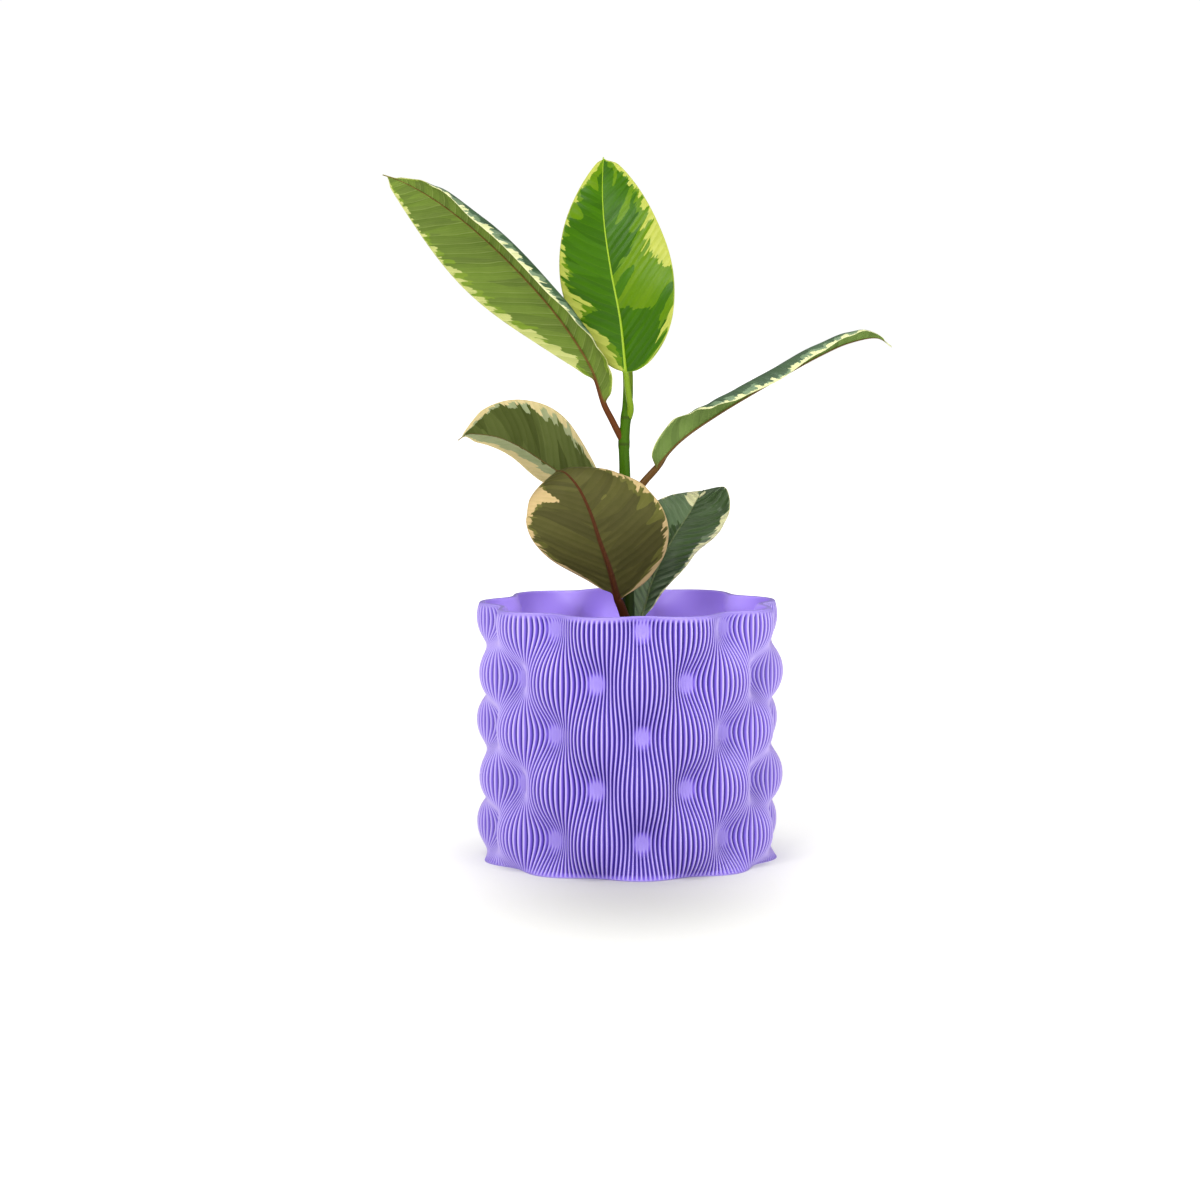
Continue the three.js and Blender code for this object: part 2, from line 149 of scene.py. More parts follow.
class Nodes:
    def __init__(self, tree):
        self.tree = tree
        self.count = 0

    def add(self, kind, **settings):
        node = self.tree.nodes.new(kind)
        node.location = (220 * (self.count % 8), -260 * (self.count // 8))
        self.count += 1
        for key, value in settings.items():
            setattr(node, key, value)
        return node

    def put(self, socket, value):
        if isinstance(value, bpy.types.NodeSocket):
            self.tree.links.new(value, socket)
        else:
            socket.default_value = value

    def feed(self, node, values):  # values for the node's first sockets
        for socket, value in zip(node.inputs, values):
            self.put(socket, value)
        return node.outputs[0]

    def math(self, operation, *values):
        return self.feed(self.add("ShaderNodeMath", operation=operation), values)

    def plus(self, a, b):
        return self.math("ADD", a, b)

    def minus(self, a, b):
        return self.math("SUBTRACT", a, b)

    def times(self, a, b):
        return self.math("MULTIPLY", a, b)

    def scaled(self, vector, scales):
        return self.feed(self.add("ShaderNodeVectorMath", operation="MULTIPLY"), (vector, scales))

    def join(self, *values):
        return self.feed(self.add("ShaderNodeCombineXYZ"), values)

    def split(self, vector):
        node = self.add("ShaderNodeSeparateXYZ")
        self.feed(node, [vector])
        return node.outputs

    def blend(self, factor, a, b, kind="MIX"):
        node = self.add("ShaderNodeMix", data_type="RGBA", blend_type=kind)
        self.put(node.inputs["Factor"], factor)  # 6, 7 and 2 are this node's colour sockets
        self.put(node.inputs[6], a)
        self.put(node.inputs[7], b)
        return node.outputs[2]

    def tinted(self, factor, colour, tint):  # the colour, with this much of a tint laid over it
        return self.blend(factor, colour, self.blend(1.0, colour, tint, "MULTIPLY"))

    def step(self, value, low, high):  # 0 below low, 1 above high
        node = self.add("ShaderNodeMapRange", interpolation_type="SMOOTHSTEP")
        self.put(node.inputs["Value"], value)
        self.put(node.inputs["From Min"], low)
        self.put(node.inputs["From Max"], high)
        return node.outputs["Result"]

    def noise(self, vector, scale, detail=2.0, roughness=0.5):
        node = self.add("ShaderNodeTexNoise")
        self.put(node.inputs["Vector"], vector)
        node.inputs["Scale"].default_value = scale
        node.inputs["Detail"].default_value = detail
        node.inputs["Roughness"].default_value = roughness
        return node.outputs["Fac"]

    def cells(self, vector, scale, **settings):
        node = self.add("ShaderNodeTexVoronoi", **settings)
        self.put(node.inputs["Vector"], vector)
        node.inputs["Scale"].default_value = scale
        return node.outputs

    def value(self, name):
        return self.add("ShaderNodeAttribute", attribute_name=name).outputs["Fac"]

    def vector(self, name):
        return self.add("ShaderNodeAttribute", attribute_name=name).outputs["Vector"]

    def place(self):
        return self.add("ShaderNodeTexCoord").outputs["Object"]


def newGroup(name, vectorInputs, valueInputs, valueOutputs):
    tree = bpy.data.node_groups.new(name, "ShaderNodeTree")
    for socketName in vectorInputs:
        tree.interface.new_socket(name=socketName, in_out="INPUT", socket_type="NodeSocketVector")
    for socketName in valueInputs:
        tree.interface.new_socket(name=socketName, in_out="INPUT", socket_type="NodeSocketFloat")
    for socketName in valueOutputs:
        tree.interface.new_socket(name=socketName, in_out="OUTPUT", socket_type="NodeSocketFloat")
    nodes = Nodes(tree)
    return tree, nodes, nodes.add("NodeGroupInput").outputs, nodes.add("NodeGroupOutput").inputs


def useGroup(nodes, tree, values):
    node = nodes.add("ShaderNodeGroup", node_tree=tree)
    for name, value in values.items():
        nodes.put(node.inputs[name], value)
    return node.outputs


def newMaterial(name, roughness, shine):
    material = bpy.data.materials.new(name)
    material.use_nodes = True
    shader = material.node_tree.nodes["Principled BSDF"]
    shader.inputs["Roughness"].default_value = roughness
    shader.inputs["Specular IOR Level"].default_value = shine
    return material, Nodes(material.node_tree), shader


def addBump(nodes, shader, height, distance, strength):
    bump = nodes.add("ShaderNodeBump")
    bump.inputs["Strength"].default_value = strength
    bump.inputs["Distance"].default_value = distance
    nodes.put(bump.inputs["Height"], height)
    nodes.put(shader.inputs["Normal"], bump.outputs["Normal"])


# camera, floor and light; the view is in millimetres, the rest in metres

view = {
    "distance": 1920, "down": 5.9, "side": -15.75, "aimHeight": 138.1,
    "lens": 107.87, "sensor": 36, "clip": (50, 60000),
}
stageLook = {
    "size": 14, "floor": (0.68, 0.675, 0.64, 1),
    "shadowMiddle": (0, -0.09), "shadowReach": (0.14, 0.26), "nearGlow": 0.57,  # partly painted shadow: the floor glows less in this soft oval in front, over the real shadow
    "fadeOut": (0.25, 1.4), "farGlow": 0.55,
    "seen": 1.02, "glow": 0.26,  # how bright the room is to the lens and to the plant
}
lamps = [
    # name, place, aim, size, power in watts
    ("key", (-1.0, -2.1, 1.5), (0, 0, 0.15), 1.2, 31),
    ("fill", (1.4, -1.9, 0.8), (0, 0, 0.15), 1.4, 17),
    ("top", (0.0, -0.3, 2.0), (0, 0, 0.1), 1.2, 18),
]


def makeView():
    lens = bpy.data.cameras.new("photoView")
    lens.lens = view["lens"]
    lens.sensor_width = view["sensor"]
    lens.clip_start, lens.clip_end = [reach * metre for reach in view["clip"]]
    camera = bpy.data.objects.new("photoView", lens)
    down = math.radians(view["down"])
    camera.location = (
        view["side"] * metre,
        -view["distance"] * math.cos(down) * metre,
        (view["aimHeight"] + view["distance"] * math.sin(down)) * metre,
    )
    camera.rotation_euler = (math.pi / 2 - down, 0, 0)
    scene.collection.objects.link(camera)
    scene.camera = camera
    scene.view_settings.view_transform = "Standard"
    scene.view_settings.look = "None"


def floorFinish():
    material, nodes, shader = newMaterial("paleFloor", 0.9, 0.1)
    shader.inputs["Base Color"].default_value = stageLook["floor"]
    shader.inputs["Emission Color"].default_value = (1, 1, 1, 1)
    x, y, _ = nodes.split(nodes.place())

    def outOf(middle, reach):  # 0 in the middle of an oval on the floor, 1 at its edge
        across = nodes.math("DIVIDE", nodes.minus(x, middle[0]), reach[0])
        along = nodes.math("DIVIDE", nodes.minus(y, middle[1]), reach[1])
        return nodes.math("SQRT", nodes.plus(nodes.times(across, across), nodes.times(along, along)))

    # painted shadow, partly: in the oval in front of the planter the glow fades out, so the floor is darker
    # there besides its real shadow
    near = nodes.step(outOf(stageLook["shadowMiddle"], stageLook["shadowReach"]), 0.0, 1.0)
    far = nodes.step(outOf((0, 0), (1, 1)), *stageLook["fadeOut"])
    glow = nodes.plus(nodes.times(near, stageLook["nearGlow"]), nodes.times(far, stageLook["farGlow"]))
    nodes.put(shader.inputs["Emission Strength"], glow)
    return material


def makeFloor():
    half = stageLook["size"] / 2
    mesh = bpy.data.meshes.new("floor")
    mesh.from_pydata([(-half, -half, 0), (half, -half, 0), (half, half, 0), (-half, half, 0)],
                     [], [(0, 1, 2, 3)])
    mesh.materials.append(floorFinish())
    floor = bpy.data.objects.new("floor", mesh)
    scene.collection.objects.link(floor)
    floor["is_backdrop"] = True


def makeLight():
    world = bpy.data.worlds.new("paleRoom")
    world.use_nodes = True
    sky = world.node_tree.nodes["Background"]
    sky.inputs["Color"].default_value = (1, 1, 1, 1)
    room = Nodes(world.node_tree)
    seen = room.add("ShaderNodeLightPath").outputs["Is Camera Ray"]
    more = room.times(seen, stageLook["seen"] - stageLook["glow"])
    room.put(sky.inputs["Strength"], room.plus(more, stageLook["glow"]))
    scene.world = world
    for name, place, aim, size, power in lamps:
        lamp = bpy.data.lights.new(name, "AREA")
        lamp.shape = "SQUARE"
        lamp.size = size
        lamp.energy = power
        holder = bpy.data.objects.new(name, lamp)
        holder.location = place
        holder.rotation_euler = (Vector(aim) - Vector(place)).to_track_quat("-Z", "Y").to_euler()
        scene.collection.objects.link(holder)


makeView()
makeFloor()
makeLight()
print("camera, floor and lights placed")


# planter

planter = {
    "height": 137, "radius": 76.6, "bulge": 5.6, "dimple": 9.2, "wall": 3, "floor": 4,
    "lobes": 9, "topDimple": 5.1,  # bulges round a row, and degrees from the front to a top dimple
    "rowPitch": 27.7, "topRow": 8.2,  # the rows of bulges, and the top one's drop from the rim
    "ribs": 212, "ribDepth": 1.9,
    "ribFade": (-0.99, -0.68),  # ribs fade out between these heights of the relief, which is -1 to 1
    "sway": 0.7,  # degrees by which the ribs spread over a bulge and crowd into a dimple
    "ribShape": (1, 0.74, 0.2, 0, 0.2, 0.74),  # how deep it is at even steps from groove to groove
    "plainFoot": 0.2, "firstRow": 0.6, "plainRim": 1.05, "ribRise": 1.2,  # ribs rise from foot and rim
    "footEdge": ((0, 0.6), (0.15, 0.25), (0.5, 0)),  # height and inset
    "outerEdge": ((0.8, 0), (0.35, 0.1), (0.08, 0.4), (0, 0.9)),  # drop from the rim and inset
    "innerEdge": ((0, 0.9, 0), (0.1, 0.4, 0.3)),  # drop, distance from the inside, share of its colour
    "insideFrom": (0.5, 1.5),  # drop of its first two rings
    # painted light: the rib crests get a lighter colour as a painted highlight, the flanks and grooves
    # darker colours as painted shade
    "smoothColour": (163, 142, 233), "crestHighlightColour": (208, 190, 255), "flankShadeColour": (128, 99, 219),
    # painted light: the inside has a lighter lavender than the outside, to stand in for light falling on it
    "grooveShadeColour": (38, 6, 134), "insideLitColour": (178, 152, 254),
    "paintedGlowColour": (166, 134, 240), "glow": 0.32,  # painted light: the inside glows, in place of daylight that the thin wall lets through
    "layer": 0.4, "layerBump": 0.03, "layerWobble": 0.25,
}


def potRow(height):
    return np.cos(math.pi * (planter["height"] - height - planter["topRow"]) / planter["rowPitch"])


def potLobe(angle):
    return planter["lobes"] * (angle - math.radians(planter["topDimple"]))


def potRelief(angle, height):  # 1 on a bulge, -1 in a dimple
    return -np.cos(potLobe(angle)) * potRow(height)


def swayed(angle, height):
    return angle - math.radians(planter["sway"]) * np.sin(potLobe(angle)) * potRow(height)


def potRing(angle, height, inset):
    relief = potRelief(angle, height)
    swing, lean = (planter["bulge"] + planter["dimple"]) / 2, (planter["dimple"] - planter["bulge"]) / 2
    radius = planter["radius"] + swing * relief - lean * relief ** 2 - inset
    return np.stack([radius * np.sin(angle), -radius * np.cos(angle), np.full_like(angle, height)], axis=1)


def makePlanter():
    p = planter
    top, wall = p["height"], p["wall"]
    columns = p["ribs"] * len(p["ribShape"])
    rowCount, insideRows = ((57, 28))
    angle = np.arange(columns) / columns * turn
    groove = np.tile(p["ribShape"], p["ribs"])
    corners, depths, crestHighlights, shades = [], [], [], []

    def addRing(ringAngle, height, inset, depth=0, crestHighlight=0, shade=0):
        plain = np.zeros(len(ringAngle))
        corners.append(potRing(swayed(ringAngle, height), height, inset))
        depths.append(plain + depth)
        crestHighlights.append(plain + crestHighlight)
        shades.append(plain + shade)

    for height, inset in p["footEdge"]:
        addRing(angle, height, inset)
    highest = top - p["plainRim"]
    for height in np.linspace(p["firstRow"], highest, rowCount):
        rise = smooth(height, p["plainFoot"], p["plainFoot"] + p["ribRise"])
        rise *= 1 - smooth(height, highest - p["ribRise"], highest)
        ribbed = rise * smooth(potRelief(swayed(angle, height), height), *p["ribFade"])
        depth = groove * ribbed
        addRing(angle, height, depth * p["ribDepth"], depth, ribbed)
    for drop, inset in p["outerEdge"]:
        addRing(angle, top - drop, inset)
    for drop, inset, shade in p["innerEdge"]:
        addRing(angle, top - drop, wall - inset, shade=shade)
    faces = []
    for row in range(len(corners) - 1):
        faces += ringFaces(row * columns, (row + 1) * columns, columns)
    # the smooth inside has a third as many columns
    start = len(corners) * columns
    third = columns // 3
    innerAngle = np.arange(third) / third * turn
    firstDrop, nextDrop = p["insideFrom"]
    innerHeights = [top - firstDrop, *np.linspace(top - nextDrop, p["floor"], insideRows)]
    for height in innerHeights:
        addRing(innerAngle, height, wall, shade=1)
    for i in range(third):
        a, b, c, d = (start - columns + (3 * i + place) % columns for place in range(4))
        here, beside = start + i, start + (i + 1) % third
        faces += [(a, b, here), (b, c, beside, here), (c, d, beside)]
    lastInner = start + (len(innerHeights) - 1) * third
    for low in range(start, lastInner, third):
        faces += ringFaces(low, low + third, third)
    footMiddle = lastInner + third
    faces += flipped(fanFaces(footMiddle, 0, columns)) + fanFaces(footMiddle + 1, lastInner, third)
    corners.append([[0, 0, 0], [0, 0, p["floor"]]])
    piece = meshPiece("planter", np.concatenate(corners), faces, "planter", "pot", [planterFinish()])
    setPoints(piece, "groove", np.concatenate(depths + [[0, 0]]))
    setPoints(piece, "ribbed", np.concatenate(crestHighlights + [[0, 0]]))
    setPoints(piece, "inside", np.concatenate(shades + [[0, 1]]))


def planterFinish():
    p = planter
    material, nodes, shader = newMaterial("lavenderPlastic", 0.42, 0.45)
    shader.inputs["Coat Weight"].default_value = 0.12
    shader.inputs["Coat Roughness"].default_value = 0.3
    shader.inputs["Emission Strength"].default_value = p["glow"]
    place = nodes.place()
    groove, inside = nodes.value("groove"), nodes.value("inside")
    patch = nodes.noise(place, 45, 3)
    # painted light: the inside takes a lighter colour than the outside
    colour = nodes.blend(inside, colourOf(p["smoothColour"]), colourOf(p["insideLitColour"]))
    # painted highlight on the rib crests, painted shade on the flanks and deepest in the grooves
    colour = nodes.blend(nodes.value("ribbed"), colour, colourOf(p["crestHighlightColour"]))
    colour = nodes.blend(nodes.step(groove, 0.02, 0.4), colour, colourOf(p["flankShadeColour"]))
    colour = nodes.blend(nodes.step(groove, 0.35, 1.0), colour, colourOf(p["grooveShadeColour"]))
    cloud = nodes.times(nodes.step(patch, 0.3, 0.7), 0.12)
    nodes.put(shader.inputs["Base Color"], nodes.tinted(cloud, colour, (0.86, 0.86, 0.92, 1)))
    # painted light: the inside glows, though it is no lamp
    glow = nodes.blend(inside, (0, 0, 0, 1), colourOf(p["paintedGlowColour"]))
    nodes.put(shader.inputs["Emission Color"], glow)
    nodes.put(shader.inputs["Roughness"], nodes.plus(nodes.times(patch, 0.12), 0.34))
    # fine layers round the wall, a little uneven
    wobble = nodes.times(nodes.noise(place, 120, 1), p["layerWobble"] * metre)
    height = nodes.plus(nodes.split(place)[2], wobble)
    layer = nodes.math("SINE", nodes.times(height, turn / (p["layer"] * metre)))
    grain = nodes.plus(nodes.times(layer, 0.5), nodes.times(patch, 0.8))
    addBump(nodes, shader, grain, p["layerBump"] * metre, 0.6)
    return material


makePlanter()
print("planter made")


# potting mix

soil = {
    "bottom": 4.4, "top": 110.33, "crown": 2.5, "clearance": 3.6, "sideRows": 12,
    "lumpSize": 9, "lumpHeight": 1.1, "gritHeight": 0.45,
    "dark": (34, 24, 18), "light": (84, 62, 44),
    "bareRound": 7, "bareEdge": 2, "spread": 0.94,  # loose bits keep off the stem and the wall
    "sunk": 0.25, "knobbly": (0.75, 1.15), "flatness": 0.8,
    "bits": {
        "soilCrumbs": {
            "count": 260, "sizes": (0.6, 1.7), "stretch": 1.2, "seed": 11,
            "finish": "darkCrumbs", "dark": (34, 24, 18), "light": (84, 62, 44),
        },
        "barkChips": {
            "count": 40, "sizes": (1.2, 2.2), "stretch": 1.9, "seed": 23,
            "finish": "barkChips", "dark": (84, 62, 44), "light": (110, 78, 52),
        },
        "perlite": {
            "count": 26, "sizes": (0.8, 1.6), "stretch": 1.0, "seed": 37,
            "finish": "perlite", "dark": (176, 168, 152), "light": (214, 208, 196),
        },
    },
}


def soilLift(x, y, share):  # share is 0 in the middle of the mix and 1 at its edge
    point = Vector((x, y, 0)) / soil["lumpSize"]
    lump = noise.fractal(point, 1.0, 2.1, 4) * soil["lumpHeight"]
    grit = noise.noise(point * 5 + Vector((7, 3, 1))) * soil["gritHeight"]
    return soil["crown"] * (1 - share * share) + (lump + grit) * (1 - share ** 8)


def makeSoil():
    columns, rings = ((180, 44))
    angle = np.arange(columns) / columns * turn
    sideHeights = np.linspace(soil["bottom"], soil["top"], soil["sideRows"])
    corners = np.concatenate([potRing(angle, height, soil["clearance"]) for height in sideHeights]).tolist()
    edge = potRing(angle, soil["top"], soil["clearance"])
    for ring in range(1, rings):
        share = 1 - ring / rings
        for x, y, z in edge:
            corners.append((x * share, y * share, z + soilLift(x * share, y * share, share)))
    last = len(corners) - columns
    faces = []
    for low in range(0, last, columns):
        faces += ringFaces(low, low + columns, columns)
    faces += fanFaces(len(corners), last, columns) + flipped(fanFaces(len(corners) + 1, 0, columns))
    corners += [(0, 0, soil["top"] + soilLift(0, 0, 0)), (0, 0, soil["bottom"])]
    material = soilFinish("pottingMix", soil["dark"], soil["light"])
    meshPiece("pottingMix", corners, faces, "potting_mix", "soil", [material])


def lumpPattern():  # a cube's corners, edge middles and face middles, drawn in to a ball, and its faces
    steps = (-1, 0, 1)
    spots = [(x, y, z) for x in steps for y in steps for z in steps if (x, y, z) != (0, 0, 0)]
    faces = []
    for axis in range(3):
        for sign in (-1, 1):
            for a, b in ((-1, -1), (-1, 0), (0, -1), (0, 0)):
                face = []
                for first, second in ((a, b), (a + 1, b), (a + 1, b + 1), (a, b + 1)):
                    spot = [0, 0, 0]
                    spot[axis] = sign
                    spot[(axis + 1) % 3] = first
                    spot[(axis + 2) % 3] = second
                    face.append(spots.index(tuple(spot)))
                faces.append(face if sign > 0 else face[::-1])
    return [Vector(spot).normalized() for spot in spots], faces


lumpSpots, lumpFaces = lumpPattern()


def addLump(dice, corners, faces, middle, size, stretch):  # a knobbly pebble
    start = len(corners)
    spin = dice.uniform(0, turn)
    for spot in lumpSpots:
        v = spot * size * dice.uniform(*soil["knobbly"])
        v = Vector((v.x * stretch, v.y, v.z * soil["flatness"]))
        corners.append((middle[0] + v.x * math.cos(spin) - v.y * math.sin(spin),
                        middle[1] + v.x * math.sin(spin) + v.y * math.cos(spin), middle[2] + v.z))
    faces += [[start + corner for corner in face] for face in lumpFaces]


def makeBits(name, bits):
    dice = random.Random(bits["seed"])
    corners, faces = [], []
    left = bits["count"]
    while left:
        reach = math.sqrt(dice.random()) * soil["spread"]
        angle = dice.uniform(0, turn)
        edge = potRing(np.array([angle]), soil["top"], soil["clearance"] + soil["bareEdge"])[0]
        x, y = edge[0] * reach, edge[1] * reach
        if math.hypot(x, y) < soil["bareRound"]:
            continue
        size = dice.uniform(*bits["sizes"])
        middle = (x, y, soil["top"] + soilLift(x, y, reach) + size * soil["sunk"])
        addLump(dice, corners, faces, middle, size, bits["stretch"])
        left -= 1
    material = soilFinish(bits["finish"], bits["dark"], bits["light"])
    meshPiece(name, corners, faces, "potting_mix", None, [material])


def soilFinish(name, dark, light):
    material, nodes, shader = newMaterial(name, 0.95, 0.2)
    place = nodes.place()
    lumps = nodes.noise(place, 260, 6, 0.65)
    grit = nodes.cells(place, 620)["Distance"]
    colour = nodes.blend(nodes.step(lumps, 0.36, 0.68), colourOf(dark), colourOf(light))
    nodes.put(shader.inputs["Base Color"], colour)
    addBump(nodes, shader, nodes.plus(lumps, nodes.times(grit, 0.5)), 0.0008, 0.9)
    return material


makeSoil()
for name, bits in soil["bits"].items():
    makeBits(name, bits)
print("potting mix made")


# stem

stem = {
    "line": [
        (-0.5, 0, 82), (-0.5, 0, 116), (-0.5, 0, 131), (-1.5, 0, 170), (-2.6, 0, 207), (-3, 0, 223),
        (-2, 0, 235), (-1, 0.2, 246), (-0.9, 0.4, 256), (-2, 0.8, 271), (-3.4, 1.2, 284),
    ],
    "radii": [
        [0, 3.4], [0.17, 3.3], [0.6, 2.95], [0.7, 2.85], [0.76, 2.65], [0.82, 2.7], [0.87, 2.75],
        [0.94, 1.8], [1, 0.35],
    ],
    "nodes": [0.2, 0.49, 0.53, 0.69, 0.76], "nodeSwell": 0.35, "nodeReach": 0.012,
    "scarDepth": 0.12, "scarReach": 0.003,
    "bark": 0.1, "barkRound": 1.5, "barkAlong": 7, "smoothTip": 0.9,
    "young": (64, 104, 2), "old": (40, 60, 6), "scar": (50, 48, 14), "sheath": (112, 138, 30),
}


def makeStem():
    points = [Vector(p) for p in stem["line"]]
    sides, steps = ((32, 260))
    marks = 400
    lengths = lineLengths(points, 0, marks)

    def nearNode(share, reach):  # one value for each node, 1 at the node itself
        return [math.exp(-((share - node) / reach) ** 2) for node in stem["nodes"]]

    corners, shares, scars = [], [], []
    for i in range(steps + 1):
        share = i / steps
        place = float(np.interp(share * lengths[-1], lengths, np.arange(marks + 1))) / marks
        middle = linePoint(points, place)
        swell = sum(nearNode(share, stem["nodeReach"]))
        scar = sum(nearNode(share, stem["scarReach"]))
        radius = between(stem["radii"], share) + stem["nodeSwell"] * swell - stem["scarDepth"] * scar
        for side in range(sides):
            angle = side / sides * turn
            x, y = math.cos(angle), math.sin(angle)
            spot = Vector((x * stem["barkRound"], y * stem["barkRound"], middle.z / stem["barkAlong"]))
            bark = noise.noise(spot) * stem["bark"]
            reach = radius + bark * (1 - smooth(share, stem["smoothTip"], 1))
            corners.append((middle.x + reach * x, middle.y + reach * y, middle.z))
            shares.append(share)
            scars.append(min(1, scar))
    faces = []
    for row in range(steps):
        faces += ringFaces(row * sides, (row + 1) * sides, sides)
    faces.append(tuple(range(sides))[::-1])
    faces.append(tuple(steps * sides + side for side in range(sides)))
    piece = meshPiece("stemCane", corners, faces, "green_stem", "stem", [stemFinish()])
    setPoints(piece, "share", shares)
    setPoints(piece, "scar", scars)


def stemFinish():
    material, nodes, shader = newMaterial("greenStem", 0.45, 0.12)
    place = nodes.place()
    share = nodes.value("share")
    streaks = nodes.noise(nodes.scaled(place, (1, 1, 0.12)), 900, 3)
    blotch = nodes.noise(place, 160, 3)
    age = nodes.step(nodes.plus(share, nodes.times(blotch, 0.12)), 0.3, 0.66)
    colour = nodes.blend(age, colourOf(stem["old"]), colourOf(stem["young"]))
    colour = nodes.blend(nodes.step(share, 0.8, 0.86), colour, colourOf(stem["sheath"]))
    streaked = nodes.times(nodes.step(streaks, 0.45, 0.75), 0.35)
    colour = nodes.blend(streaked, colour, colourOf(stem["scar"]))
    colour = nodes.blend(nodes.times(nodes.value("scar"), 0.75), colour, colourOf(stem["scar"]))
    nodes.put(shader.inputs["Base Color"], colour)
    addBump(nodes, shader, nodes.plus(streaks, blotch), 0.0002, 0.5)
    return material


makeStem()
print("stem made")


# leaves

leafForm = {
    "thick": 0.5, "edgeThin": 0.72, "edgeReach": 1.6,
    "squareness": 0.5, "squareFrom": 0.1,  # how far the sections turn square to the blade as a whole
    "rimAngle": 75, "flatFrom": 4,  # a wing opens out of the round petiole up to so many radii
    "petioleReach": 0.1,  # how far along the blade the petiole's colour can go
    "ribStand": 0.9, "standReach": 1.15, "ribTaper": 0.6, "tipRadius": 0.35,  # the midrib stands out below
    "channel": 0.16, "channelReach": 0.8,  # and is a shallow channel above
    "waveLag": 0.3,
    "bladeRows": 120, "petioleRows": 12, "sideSteps": 22,
    "ribSteps": 6, "ribReach": 1.2, "crowding": 1.25,  # side steps over the midrib; the rest crowd outwards
}

# what a leaf has where its own entry says nothing else
leafLook = {
    "veinShow": 0.22, "sagShade": 0.27, "ribbing": 0.00025, "ribWide": 0.55,
    "upperGloss": 0.4, "upperShine": 0.15, "upperBump": 0.8,
    "lowerGloss": 0.55, "lowerShine": 0.1, "lowerBump": 0.6,
}

